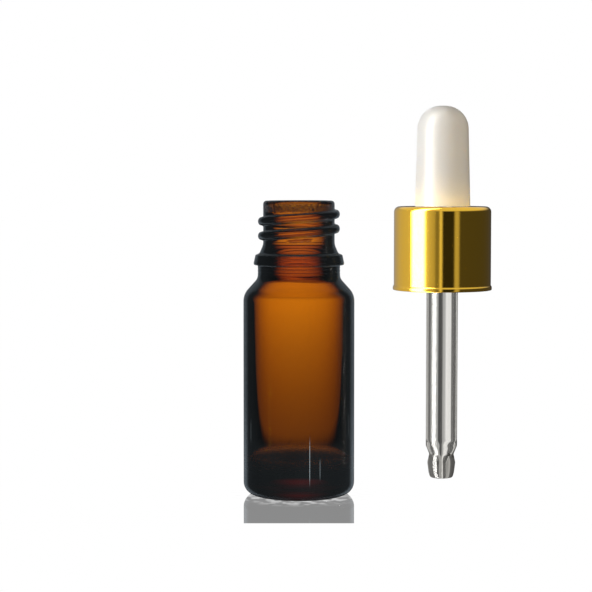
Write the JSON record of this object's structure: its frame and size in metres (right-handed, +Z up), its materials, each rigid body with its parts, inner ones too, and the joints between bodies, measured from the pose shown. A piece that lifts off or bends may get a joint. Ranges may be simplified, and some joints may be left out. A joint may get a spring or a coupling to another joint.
{
  "type": "ink bottle with dropper",
  "caption": "Amber glass ink bottle with a screw-thread neck, standing open, and its dropper cap beside it: white rubber bulb, gold collar and clear glass pipette.",
  "frame": {"origin": "centre of the bottle's flat base, on the surface it stands on", "axes": "+Z up along the bottle's axis; +X towards the dropper; -Y towards the viewer"},
  "size_m": [0.0554, 0.0248, 0.0868],
  "materials": {
    "amber_glass": "polished moulded glass",
    "clear_glass": "polished drawn glass",
    "white_rubber": "glossy moulded rubber",
    "white_plastic": "satin moulded plastic",
    "gold_aluminium": "bright gold anodised"
  },
  "bodies": {
    "bottle": {"glass_bottle": "amber_glass"},
    "dropper": {"glass_pipette": "clear_glass"},
    "collar": {"screw_collar": "white_plastic", "gold_shell": "gold_aluminium"},
    "bulb": {"rubber_bulb": "white_rubber"}
  },
  "joints": [
    {"name": "dropper_carry", "type": "slide", "parent": "bottle", "child": "dropper", "axis": [-0.2993, 0, 0.9541], "range_m": [0, 0.1069]},
    {"name": "collar_turn", "type": "hinge", "parent": "dropper", "child": "collar", "pos_m": [0.032, 0, 0.0619], "axis": [0, 0, 1], "continuous": true},
    {"name": "bulb_squeeze", "type": "slide", "parent": "dropper", "child": "bulb", "axis": [1, 0, 0], "range_m": [0, 0.003], "stiffness_N_per_m": 400, "deforming": ["rubber_bulb"]}
  ]
}
